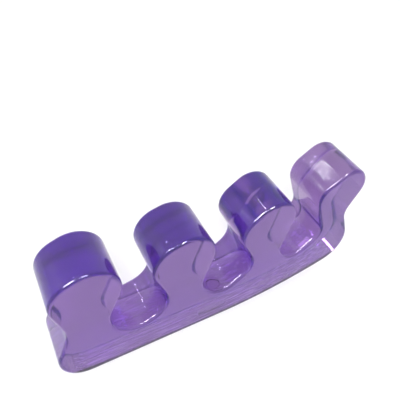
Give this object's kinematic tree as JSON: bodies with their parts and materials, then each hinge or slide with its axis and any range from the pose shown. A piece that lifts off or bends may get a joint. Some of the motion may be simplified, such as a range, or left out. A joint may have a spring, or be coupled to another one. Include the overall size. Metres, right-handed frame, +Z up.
{
  "type": "toe separator",
  "caption": "Soft gel moulding that stands on a flat base and holds the toes of one foot apart between rounded posts.",
  "frame": {"origin": "middle of the bounding box, at the height of the flat underside", "axes": "+X along the base from the tallest, widest-necked end post on the left to the slim leaning end post, -Y towards the front face, +Z up along the posts"},
  "size_m": [0.0882, 0.0144, 0.0392],
  "materials": {
    "gel": "glossy translucent gel"
  },
  "bodies": {
    "root": {"gel_body": "gel"}
  },
  "joints": []
}
